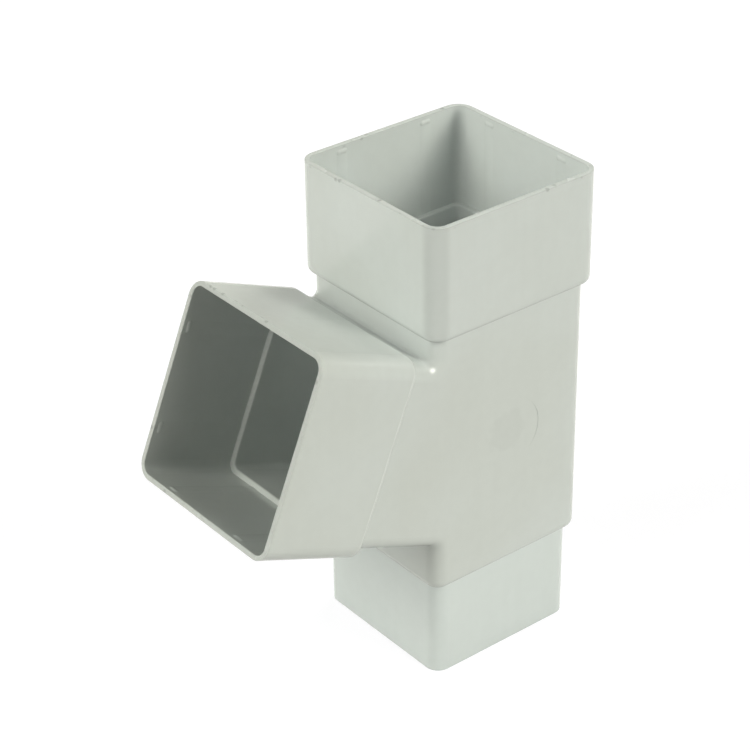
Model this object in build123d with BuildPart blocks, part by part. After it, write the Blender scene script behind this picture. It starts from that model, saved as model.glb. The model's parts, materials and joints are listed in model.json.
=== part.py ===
from math import atan2, cos, degrees, radians, sin
import os

from build123d import *

# Square downpipe branch in rigid PVC, one moulding, in millimetres.
# The spigot at the bottom goes into the bore of the pipe below, the socket at the top takes the
# pipe from above, and the slanted socket takes the branch pipe.
# The origin is the middle of the spigot's open end. +Z runs up the main run, and the branch
# rises towards -X. Both sides of the plane Y = 0 are alike, but for the gate mark on the -Y face.

# The pipe and how it fits
pipe_width = 65.0           # outside of the square pipe, which the body matches
pipe_wall = 2.0
socket_clearance = 0.4      # gap on each side between a pushed-in pipe and the socket's wall
spigot_clearance = 0.2      # gap on each side between the spigot and the bore of the pipe below

# Walls and corners
socket_wall = 1.85
body_wall = 1.5
spigot_wall = 2.0
socket_corner = 6.1         # outer corner radius of both sockets
socket_bore_corner = 3.7
body_corner = 5.3           # outer corner radius of the body and the neck
body_bore_corner = 2.4
spigot_corner = 5.2

# Main run
spigot_length = 35.8
body_length = 97.1          # from the spigot's shoulder to the top socket's shoulder
socket_length = 41.0        # outside length of each socket
socket_depth = 36.5         # from a mouth down to its stop ledge

# Branch
branch_angle = 67.5         # between the branch and the main run, in degrees
branch_height = 75.8        # where the two centre lines cross
branch_reach = 97.8         # from that crossing out to the branch's mouth

# Rounds
shoulder_round = 2.8        # outer edge of each socket's shoulder
body_round = 3.9            # lower edge of the body, where it draws in to the spigot
body_bore_round = 2.0       # the same edge inside
crease_round = 1.3          # outside corners between the neck and the body
bore_crease_round = 1.0     # edges inside, where the neck's bore runs into the body's
step_round = 0.6            # inner edges of the ledges and of the step above the spigot
rim_round = 0.3             # both edges of each open end

# Pips near each mouth that hold the pipe central, and a low crowned rib that runs down from each
pip_spacing = 35.5          # between the two pips on one wall
pip_depth = 2.6             # from the mouth to the middle of a pip
pip_core = 2.4              # straight part of a pip, between its round ends
pip_radius = 2.0
pip_height = 0.3
rib_width = 4.4
rib_height = 0.18           # at the middle of its width

# Marks that the mould leaves
gate_width = 24.3           # round mark on the -Y face, sunk on one side only
gate_depth = 0.17           # depth of the mark at its deep side
gate_run_out = 6.0          # from its middle to where its floor comes up to the face
gate_lift = 8.0             # how far the deep side is turned up from +X, in degrees
gate_height = 87.5          # from the spigot's end to the middle of the mark
seam_height = 0.04          # ridge along the top of the branch, where the mould's halves met
seam_width = 0.25
seam_setback = 1.0          # how far the ridge stops short of the mouth
seam_root = 0.8             # how deep the ridge is bedded in the wall

# Widths that follow
socket_bore = pipe_width + 2 * socket_clearance
socket_width = socket_bore + 2 * socket_wall
body_width = pipe_width
body_bore = body_width - 2 * body_wall
spigot_width = pipe_width - 2 * pipe_wall - 2 * spigot_clearance
spigot_bore = spigot_width - 2 * spigot_wall
spigot_bore_corner = spigot_corner - spigot_wall

# Heights and planes that follow. Each plane looks out along the run that it closes.
shoulder_height = spigot_length + body_length
total_height = shoulder_height + socket_length
ledge_height = total_height - socket_depth
step_height = spigot_length + body_wall
branch_rise = 90 - branch_angle
branch_shoulder = branch_reach - socket_length
branch_ledge = branch_reach - socket_depth
branch_base = Plane(
    origin=(0, 0, branch_height),
    x_dir=(0, 1, 0),
    z_dir=(-cos(radians(branch_rise)), 0, sin(radians(branch_rise))),
)
main_base = Plane(origin=(0, 0, 0), x_dir=(0, 1, 0), z_dir=(0, 0, 1))
socket_seats = [main_base.offset(shoulder_height), branch_base.offset(branch_shoulder)]
open_ends = [main_base, main_base.offset(total_height), branch_base.offset(branch_reach)]
ledges = [
    main_base.offset(step_height),
    main_base.offset(ledge_height),
    branch_base.offset(branch_ledge),
]


def branched_run(width, corner, crease, bottom, bottom_round):
    # A straight square run from the bottom up to the top ledge, with the neck's square run
    # leaving it. Both are equally wide, so the side view is drawn once and drawn out.
    with BuildPart() as run:
        with BuildSketch(Plane.XZ) as side_view:
            with Locations((0, bottom)):
                Rectangle(width, ledge_height - bottom, align=(Align.CENTER, Align.MIN))
            with Locations(Location((0, branch_height, 0), (0, 0, -branch_rise))):
                Rectangle(branch_ledge, width, align=(Align.MAX, Align.CENTER))
            on_left_face = side_view.vertices().filter_by_position(
                Axis.X, -width / 2 - 0.01, -width / 2 + 0.01
            )
            fillet(on_left_face.sort_by(Axis.Y)[1:-1], radius=crease)
        extrude(amount=width / 2, both=True)
        broad_edges = run.faces().filter_by(Axis.Y).edges()
        along_main = broad_edges.filter_by(Axis.Z)
        along_branch = broad_edges.filter_by(Axis(branch_base.origin, branch_base.z_dir))
        around_creases = broad_edges.filter_by(GeomType.CIRCLE)
        fillet(along_main + along_branch + around_creases, radius=corner)
        fillet(run.faces().sort_by(Axis.Z)[0].edges(), radius=bottom_round)
    return run.part


def face_on(part, plane):
    # The part's flat ring that lies on the plane, around the plane's origin
    return part.faces().filter_by(plane).sort_by_distance(plane.origin)[0]


# Outside of one socket: its shoulder lies on the plane Z = 0 and its mouth is at the top
with BuildPart() as socket_form:
    with BuildSketch():
        RectangleRounded(socket_width, socket_width, socket_corner)
    extrude(amount=socket_length)
    fillet(socket_form.faces().sort_by(Axis.Z)[0].edges(), radius=shoulder_round)

# Room for the pipe in that socket, down to the stop ledge
with BuildPart() as socket_room:
    with BuildSketch(Plane.XY.offset(socket_length - socket_depth)):
        RectangleRounded(socket_bore, socket_bore, socket_bore_corner)
    extrude(amount=socket_depth)

# One pip across the wall at X = 0, of which only the inner half of the wall is kept
with BuildPart() as pip:
    with Locations((pip_radius - pip_height, 0, 0)):
        Cylinder(radius=pip_radius, height=pip_core, rotation=(90, 0, 0))
        with Locations((0, -pip_core / 2, 0), (0, pip_core / 2, 0)):
            Sphere(radius=pip_radius)
    Box(socket_wall, 2 * pip_core + 2 * pip_radius, 2 * pip_radius, mode=Mode.INTERSECT)

# One rib on the same wall, standing up from Z = 0
with BuildPart() as rib:
    with BuildSketch():
        with BuildLine():
            crown = ThreePointArc((0, -rib_width / 2), (-rib_height, 0), (0, rib_width / 2))
            Polyline(
                crown @ 1,
                (rib_height, rib_width / 2),
                (rib_height, -rib_width / 2),
                crown @ 0,
            )
        make_face()
    extrude(amount=socket_depth - pip_depth)

# Two pips on each wall of that socket, and a rib from each down to the ledge
with BuildPart() as socket_grips:
    with PolarLocations(socket_bore / 2, 4):
        with GridLocations(0, pip_spacing, 1, 2):
            with Locations((0, 0, socket_length - pip_depth)):
                add(pip.part)
            with Locations((0, 0, socket_length - socket_depth)):
                add(rib.part)

# The whole outside, before it is hollowed out
with BuildPart() as outer_form:
    add(branched_run(body_width, body_corner, crease_round, spigot_length, body_round))
    with BuildSketch():
        RectangleRounded(spigot_width, spigot_width, spigot_corner)
    extrude(amount=step_height)
    with Locations(socket_seats):
        add(socket_form.part)

# Parting line: a thin band of the outline in the plane Y = 0, kept along the top of the branch
outline = section(outer_form.part, section_by=Plane.XZ).face()
with BuildPart() as seam:
    with BuildSketch(Plane.XZ):
        add(outline)
        offset(amount=seam_height)
        offset(outline, amount=-seam_root, mode=Mode.SUBTRACT)
    extrude(amount=seam_width / 2, both=True)
    with Locations(branch_base):
        Box(
            2 * seam_width,
            socket_width / 2 + 2 * seam_height,
            branch_reach - seam_setback,
            align=(Align.CENTER, Align.MAX, Align.MIN),
            mode=Mode.INTERSECT,
        )

# Round mark around the place where the plastic was injected. Its flat floor is tilted, so that it
# lies below the face on one side and runs out on the other.
gate_tilt = degrees(atan2(gate_depth, gate_width / 2 - gate_run_out))
with BuildPart() as gate_mark:
    with Locations(Location((gate_run_out, 0, 0), (0, 0, gate_tilt))):
        with Locations((-gate_run_out, 0, 0)):
            Cylinder(
                radius=gate_width / 2,
                height=4 * gate_depth,
                rotation=(90, 0, 0),
                align=(Align.CENTER, Align.CENTER, Align.MIN),
            )
gate_seat = Location((0, -body_width / 2, gate_height), (0, -gate_lift, 0))

# The finished fitting
with BuildPart() as downpipe_branch:
    add(outer_form.part)
    with Locations(socket_seats):
        add(socket_room.part, mode=Mode.SUBTRACT)
    bore_form = branched_run(
        body_bore, body_bore_corner, bore_crease_round, step_height, body_bore_round
    )
    add(bore_form, mode=Mode.SUBTRACT)
    with BuildSketch():
        RectangleRounded(spigot_bore, spigot_bore, spigot_bore_corner)
    extrude(amount=step_height, mode=Mode.SUBTRACT)
    for ledge in ledges:
        fillet(face_on(downpipe_branch, ledge).inner_wires()[0].edges(), radius=step_round)
    for open_end in open_ends:
        fillet(face_on(downpipe_branch, open_end).edges(), radius=rim_round)
    with Locations(socket_seats):
        add(socket_grips.part)
    add(seam.part)
    with Locations(gate_seat):
        add(gate_mark.part, mode=Mode.SUBTRACT)

downpipe_branch.part.label = "downpipe_branch"

os.makedirs("parts", exist_ok=True)
export_step(downpipe_branch.part, "parts/downpipe_branch.step")
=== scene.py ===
import json
from math import cos, radians, sin

import bmesh
import bpy
from mathutils import Euler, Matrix

# A square downpipe branch in pale grey plastic, standing on its spigot on a white studio floor.
# Metres, in the part's own frame: the branch rises towards -X and the camera looks in from -X, -Y.

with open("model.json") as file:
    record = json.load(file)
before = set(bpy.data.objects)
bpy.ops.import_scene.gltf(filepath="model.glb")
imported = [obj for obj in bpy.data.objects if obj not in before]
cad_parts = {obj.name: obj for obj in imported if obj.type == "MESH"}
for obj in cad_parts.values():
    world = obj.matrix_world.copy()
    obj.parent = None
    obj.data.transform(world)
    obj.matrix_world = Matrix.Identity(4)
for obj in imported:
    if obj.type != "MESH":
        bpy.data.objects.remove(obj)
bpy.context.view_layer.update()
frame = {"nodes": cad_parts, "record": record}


# Helpers that add one node to a tree and give back its output. What they are given is another
# node's output, which is linked, or a plain value, which is written on the socket.


def feed(tree, socket, given):
    if isinstance(given, bpy.types.NodeSocket):
        tree.links.new(given, socket)
    else:
        socket.default_value = given


def mathNode(tree, operation, *inputs):
    node = tree.nodes.new("ShaderNodeMath")
    node.operation = operation
    for slot, given in enumerate(inputs):
        feed(tree, node.inputs[slot], given)
    return node.outputs[0]


def vectorNumber(tree, operation, first, second):
    # One number out of two vectors, such as the distance between them
    node = tree.nodes.new("ShaderNodeVectorMath")
    node.operation = operation
    feed(tree, node.inputs[0], first)
    feed(tree, node.inputs[1], second)
    return node.outputs["Value"]


def mixNode(tree, factor, first, second, kind="RGBA"):
    # The first at factor 0, the second at factor 1
    node = tree.nodes.new("ShaderNodeMix")
    node.data_type = kind
    feed(tree, node.inputs["Factor"], factor)
    for name, given in (("A", first), ("B", second)):
        feed(tree, node.inputs[name], (*given, 1) if isinstance(given, tuple) else given)
    return node.outputs["Result"]


def ramp(tree, value, low, high, toLow=0, toHigh=1, smooth=True):
    # Value from low to high becomes toLow to toHigh
    node = tree.nodes.new("ShaderNodeMapRange")
    node.interpolation_type = "SMOOTHSTEP" if smooth else "LINEAR"
    node.inputs["From Min"].default_value = low
    node.inputs["From Max"].default_value = high
    node.inputs["To Min"].default_value = toLow
    node.inputs["To Max"].default_value = toHigh
    tree.links.new(value, node.inputs["Value"])
    return node.outputs["Result"]


def stretched(tree, place, size):
    # Object coordinates, divided by a size on each axis
    node = tree.nodes.new("ShaderNodeMapping")
    node.inputs["Scale"].default_value = [1 / s for s in size]
    tree.links.new(place, node.inputs["Vector"])
    return node.outputs["Vector"]


def noise(tree, place, size, detail):
    # Soft patches of one size, or of a size for each axis
    node = tree.nodes.new("ShaderNodeTexNoise")
    node.inputs["Scale"].default_value = 1
    node.inputs["Detail"].default_value = detail
    sizes = size if isinstance(size, tuple) else (size, size, size)
    tree.links.new(stretched(tree, place, sizes), node.inputs["Vector"])
    return node.outputs["Fac"]


def dots(tree, place, spacing, radius, share):
    # Small round dots, one in each of a share of the cells
    cells = tree.nodes.new("ShaderNodeTexVoronoi")
    cells.inputs["Scale"].default_value = 1
    tree.links.new(stretched(tree, place, (spacing, spacing, spacing)), cells.inputs["Vector"])
    dot = ramp(tree, cells.outputs["Distance"], 0.4 * radius / spacing, radius / spacing, 1, 0)
    split = tree.nodes.new("ShaderNodeSeparateColor")
    tree.links.new(cells.outputs["Color"], split.inputs["Color"])
    chosen = mathNode(tree, "LESS_THAN", split.outputs["Red"], share)
    return mathNode(tree, "MULTIPLY", dot, chosen)


def heightAlong(tree, place, mount):
    # How far out a point lies along a mount's axis, 0 at the mouth itself and below 0 inside
    mouth = sum(a * b for a, b in zip(mount["pos_m"], mount["axis"]))
    return mathNode(tree, "SUBTRACT", vectorNumber(tree, "DOT_PRODUCT", place, mount["axis"]), mouth)


def newMaterial(name):
    material = bpy.data.materials.new(name)
    material.use_nodes = True
    return material, material.node_tree, material.node_tree.nodes["Principled BSDF"]


# Pale grey rigid plastic, straight from the mould: slow drifts between a warm and a cool grey, a
# gloss that comes and goes, walls that are not quite flat, and a little dirt, with painted light on
# the spigot and painted shade down the top socket's near corner. Sizes are in metres.
plastic = {
    "warm": (0.580, 0.611, 0.596),
    "cool": (0.634, 0.677, 0.684),
    "coolFrom": (-0.07, 0.15),          # X out on the branch, and the share of cool grey there
    "coolTo": (0.0, 0.6),               # the same in the middle of the main run
    "drift": (0.075, 0.35),             # size of the drifts, and how far they shift that share
    "paintedFootLight": (0.652, 0.706, 0.712),      # the spigot, painted lighter as if lit by light bounced up from the floor
    "paintedFootLightTop": (0.036, 0.038),          # Z where the painted light on the spigot starts to fade, and ends
    "mottle": (0.004, 0.012),           # size, and how far it darkens
    "streak": (0.005, 0.2, 0.008),      # flow streaks: width, length, and how far they darken
    "speck": (0.011, 0.00016, 0.35),    # specks of dirt: spacing, radius, share of places
    "speckDark": 0.45,                  # how far a speck darkens
    "rimDot": (0.0035, 0.00105, 0.4),   # dark dots along the mouths: spacing, radius, share of places
    "rimDotDepth": 0.0007,              # how far in from a mouth they lie
    "rimDotShare": 0.55,                # how dark they are, as a share of a speck's darkness
    "rub": (0.0007, 0.11, 0.12),        # ends rubbed by pipes: how far in, darker, duller
    "rubPatch": (0.006, 0.4),           # size of the rubbed patches, and how rubbed the rest is
    "corner": (-0.033, -0.033, 0.136),  # corner of the top socket with a band of painted shade, and its foot
    "cornerBand": (0.0065, 0.11),       # how far from that corner the painted shade reaches, and how far it darkens
    "gate": (-0.0021, -0.0325, 0.0888),     # middle of the stain where the plastic came in
    "gateStain": (0.008, 0.03, 0.04),   # radius, darker, duller
    "roughness": (0.10, 0.18),          # most polished and dullest
    "polish": 0.03,                     # size of the polished and dull patches
    "wave": (0.03, 0.00010),            # size and height of the slow waves in the walls
    "grain": (0.0009, 0.000002),        # size and height of the mould's own texture
    "ior": 1.52,
}


def greyAndPaintedFootLight(tree, place, parts):
    # Warm grey at the branch, cooler at the main run, with slow drifts between, and painted light on
    # the spigot
    (warmX, warmShare), (coolX, coolShare) = plastic["coolFrom"], plastic["coolTo"]
    size, amount = plastic["drift"]
    slow = ramp(tree, noise(tree, place, size, 2), 0.3, 0.7, -amount, amount)
    towardRun = ramp(tree, parts.outputs["X"], warmX, coolX, warmShare, coolShare)
    coolness = mathNode(tree, "ADD", towardRun, slow)
    coolness = mathNode(tree, "MINIMUM", mathNode(tree, "MAXIMUM", coolness, 0), 1)
    grey = mixNode(tree, coolness, plastic["warm"], plastic["cool"])
    # Painted light: the spigot is made lighter, as if lit by light bounced up from the floor
    low, high = plastic["paintedFootLightTop"]
    inPaintedFootLight = ramp(tree, parts.outputs["Z"], high, low)
    return mixNode(tree, inPaintedFootLight, grey, plastic["paintedFootLight"])


def makePlastic():
    material, tree, shader = newMaterial("moulded_plastic")
    nodes, links = tree.nodes, tree.links
    shader.inputs["IOR"].default_value = plastic["ior"]
    place = nodes.new("ShaderNodeTexCoord").outputs["Object"]
    parts = nodes.new("ShaderNodeSeparateXYZ")
    links.new(place, parts.inputs[0])

    # Mottling and flow streaks darken the grey a little
    size, amount = plastic["mottle"]
    mottle = ramp(tree, noise(tree, place, size, 3), 0.35, 0.65, 1 - amount, 1)
    width, length, amount = plastic["streak"]
    streak = ramp(tree, noise(tree, place, (width, width, length), 4), 0.35, 0.65, 1 - amount, 1)
    shade = mathNode(tree, "MULTIPLY", mottle, streak)

    # Specks of dirt anywhere, dark dots along the mouths' edges, and wear where pipes rub the ends
    specks = dots(tree, place, *plastic["speck"])
    rimDots = dots(tree, place, *plastic["rimDot"])
    depth = plastic["rimDotDepth"]
    width, rubDark, rubDull = plastic["rub"]
    size, least = plastic["rubPatch"]
    rubbed = ramp(tree, noise(tree, place, size, 4), 0.25, 0.5, least, 1)
    wear = 0
    for mount in frame["record"]["mounts"]:
        if mount["name"] in ("spigot", "top_socket", "branch_socket"):
            height = heightAlong(tree, place, mount)
            nearEnd = ramp(tree, height, -width, -width / 4)
            wear = mathNode(tree, "MAXIMUM", wear, mathNode(tree, "MULTIPLY", nearEnd, rubbed))
            if mount["name"] != "spigot":
                nearRim = ramp(tree, height, -2 * depth, -depth)
                dirt = mathNode(tree, "MULTIPLY", nearRim, rimDots)
                faint = mathNode(tree, "MULTIPLY", dirt, plastic["rimDotShare"])
                specks = mathNode(tree, "MAXIMUM", specks, faint)
    speckShade = ramp(tree, specks, 0, 1, 1, 1 - plastic["speckDark"], smooth=False)
    shade = mathNode(tree, "MULTIPLY", shade, speckShade)

    # Painted shade: a darker band down the near corner of the top socket, where the corner turns
    # towards the unlit side
    x, y, z = plastic["corner"]
    reach, cornerShadeDark = plastic["cornerBand"]
    flattened = stretched(tree, place, (1, 1, 1000))    # so that only X and Y count
    fromShadeCorner = vectorNumber(tree, "DISTANCE", flattened, (x, y, 0))
    cornerShade = ramp(tree, fromShadeCorner, reach / 4, reach, 1, 0)
    cornerShade = mathNode(tree, "MULTIPLY", cornerShade, ramp(tree, parts.outputs["Z"], z - 0.002, z))

    # A faint stain with a wavering edge where the plastic came in
    radius, stainDark, stainDull = plastic["gateStain"]
    waver = ramp(tree, noise(tree, place, radius / 2, 2), 0.3, 0.7, -radius / 8, radius / 8)
    fromGate = mathNode(tree, "ADD", vectorNumber(tree, "DISTANCE", place, plastic["gate"]), waver)
    stain = ramp(tree, fromGate, 0.75 * radius, 1.1 * radius, 1, 0)

    # Each of these darkens the grey by its own amount: the wear, the painted corner shade and the
    # stain
    for mark, dark in ((wear, rubDark), (cornerShade, cornerShadeDark), (stain, stainDark)):
        shade = mathNode(tree, "MULTIPLY", shade, ramp(tree, mark, 0, 1, 1, 1 - dark))
    shaded = nodes.new("ShaderNodeVectorMath")
    shaded.operation = "SCALE"
    links.new(greyAndPaintedFootLight(tree, place, parts), shaded.inputs[0])
    links.new(shade, shaded.inputs["Scale"])
    links.new(shaded.outputs["Vector"], shader.inputs["Base Color"])

    # Polished and dull patches
    low, high = plastic["roughness"]
    polish = ramp(tree, noise(tree, place, plastic["polish"], 4), 0.3, 0.7, low, high)
    for mark, dull in ((wear, rubDull), (stain, stainDull)):
        polish = mathNode(tree, "MULTIPLY_ADD", mark, dull, polish)
    links.new(polish, shader.inputs["Roughness"])

    # Slow waves in the walls, and the mould's fine grain over them
    normal = None
    for size, height in (plastic["wave"], plastic["grain"]):
        bump = nodes.new("ShaderNodeBump")
        bump.inputs["Distance"].default_value = height
        links.new(noise(tree, place, size, 1), bump.inputs["Height"])
        if normal is not None:
            links.new(normal, bump.inputs["Normal"])
        normal = bump.outputs["Normal"]
    links.new(normal, shader.inputs["Normal"])
    return material


node = frame["nodes"]["downpipe_branch"]
node.data.materials.clear()
node.data.materials.append(makePlastic())
print("plastic made")

# The floor lights the part as a pale grey one does. The camera sees it white, with a soft shadow.
floor = {
    "side": 6.0,
    "colour": (0.45, 0.45, 0.45),
    "seenColour": (0.2, 0.2, 0.22),     # what the camera sees, a little blue against the warm lamps
    "seenGlow": 0.84,
    "mirroredGlow": 0.5,                # what the part's gloss sees on top of the lit floor
}


def makeFloor():
    mesh = bpy.data.meshes.new("floor")
    form = bmesh.new()
    bmesh.ops.create_grid(form, x_segments=1, y_segments=1, size=floor["side"] / 2)
    form.to_mesh(mesh)
    form.free()
    piece = bpy.data.objects.new("floor", mesh)
    bpy.context.scene.collection.objects.link(piece)
    material, tree, shader = newMaterial("white_floor")
    shader.inputs["Roughness"].default_value = 1
    shader.inputs["Specular IOR Level"].default_value = 0
    shader.inputs["Emission Color"].default_value = (1, 1, 1, 1)
    path = tree.nodes.new("ShaderNodeLightPath")
    cameraRay, glossyRay = path.outputs["Is Camera Ray"], path.outputs["Is Glossy Ray"]
    paint = mixNode(tree, cameraRay, floor["colour"], floor["seenColour"])
    tree.links.new(paint, shader.inputs["Base Color"])
    mirrored = mathNode(tree, "MULTIPLY", glossyRay, floor["mirroredGlow"])
    glow = mathNode(tree, "MULTIPLY_ADD", cameraRay, floor["seenGlow"], mirrored)
    tree.links.new(glow, shader.inputs["Emission Strength"])
    mesh.materials.append(material)


makeFloor()
print("floor made")

# Large soft boxes a long way off. Each is a glow on the sky round a direction: degrees round from
# -Y towards +X, degrees above the floor, brightness at its middle, and how fast it falls off away
# from there. The part's gloss mirrors plain surroundings with small bright lamps instead.
studio = {
    "boxes": {
        "rightFront": (25, 25, 16.8, 50),
        "rightSide": (45, 25, 1.2, 50),
        "rightHigh": (25, 42, 3.8, 50),
        "rightBack": (110, 25, 13.0, 50),
        "backLow": (180, 8, 13.4, 50),
        "left": (262, 25, 11.8, 50),
        "leftHigh": (264, 42, 8.9, 50),
        "leftFrontHigh": (288, 42, 1.2, 50),
    },
    "colour": (1.008, 1.0, 0.905),      # of all the lamps, a little warm
    "mirroredSky": 0.4,                 # brightness of the plain surroundings
    "mirroredLamps": {
        "key": (18, 34, 16.0, 26),
        "strip": (75, 22, 2.4, 500),
        "overRims": (162, 40, 1.7, 60),
    },
}


def makeSoftbox():
    # Brightness that falls off with the angle between a direction and the box's middle
    group = bpy.data.node_groups.new("softbox", "ShaderNodeTree")
    for name, kind in (
        ("Direction", "NodeSocketVector"),
        ("Middle", "NodeSocketVector"),
        ("Brightness", "NodeSocketFloat"),
        ("Tightness", "NodeSocketFloat"),
    ):
        group.interface.new_socket(name, in_out="INPUT", socket_type=kind)
    group.interface.new_socket("Glow", in_out="OUTPUT", socket_type="NodeSocketFloat")
    given = group.nodes.new("NodeGroupInput").outputs
    made = group.nodes.new("NodeGroupOutput").inputs
    nearness = vectorNumber(group, "DOT_PRODUCT", given["Direction"], given["Middle"])
    front = mathNode(group, "MAXIMUM", nearness, 0)
    fall = mathNode(group, "POWER", front, given["Tightness"])
    group.links.new(mathNode(group, "MULTIPLY", fall, given["Brightness"]), made["Glow"])
    return group


def addBoxes(tree, softbox, place, boxes, total):
    # The glows of several soft boxes, added to a plain level
    for name, (around, above, brightness, tightness) in boxes.items():
        box = tree.nodes.new("ShaderNodeGroup")
        box.name = name
        box.node_tree = softbox
        turn, lift = radians(around), radians(above)
        middle = (sin(turn) * cos(lift), -cos(turn) * cos(lift), sin(lift))
        box.inputs["Middle"].default_value = middle
        box.inputs["Brightness"].default_value = brightness
        box.inputs["Tightness"].default_value = tightness
        tree.links.new(place, box.inputs["Direction"])
        total = mathNode(tree, "ADD", box.outputs["Glow"], total)
    return total


def makeWorld():
    world = bpy.data.worlds.new("studio")
    world.use_nodes = True
    tree = world.node_tree
    place = tree.nodes.new("ShaderNodeTexCoord").outputs["Generated"]
    softbox = makeSoftbox()
    light = addBoxes(tree, softbox, place, studio["boxes"], 0)
    mirrored = addBoxes(tree, softbox, place, studio["mirroredLamps"], studio["mirroredSky"])
    # The part's gloss sees the surroundings, and the camera sees plain white beyond the floor
    path = tree.nodes.new("ShaderNodeLightPath")
    cameraRay, glossyRay = path.outputs["Is Camera Ray"], path.outputs["Is Glossy Ray"]
    light = mixNode(tree, glossyRay, light, mirrored, "FLOAT")
    light = mixNode(tree, cameraRay, light, 1, "FLOAT")
    tint = mixNode(tree, cameraRay, studio["colour"], (1, 1, 1))
    background = tree.nodes["Background"]
    tree.links.new(light, background.inputs["Strength"])
    tree.links.new(tint, background.inputs["Color"])
    bpy.context.scene.world = world


makeWorld()
print("lamps made")

camera = {
    "place": (-0.42802, -0.50321, 0.48795),
    "azimuth": -38.254,     # degrees round from -Y, towards -X
    "elevation": 30.76,     # degrees that it looks down
    "roll": -0.834,
    "lens": 108.89,         # mm, for a sensor 36 mm wide
}


def makeCamera():
    lens = bpy.data.cameras.new("camera")
    lens.sensor_width = 36
    lens.lens = camera["lens"]
    lens.clip_start = 0.01
    holder = bpy.data.objects.new("camera", lens)
    turn = Euler((radians(90 - camera["elevation"]), 0, radians(camera["azimuth"]))).to_matrix()
    roll = Euler((0, 0, radians(camera["roll"]))).to_matrix()
    holder.matrix_world = (turn @ roll).to_4x4()
    holder.location = camera["place"]
    bpy.context.scene.collection.objects.link(holder)
    bpy.context.scene.camera = holder


makeCamera()
bpy.context.scene.view_settings.view_transform = "Standard"
print("camera placed")
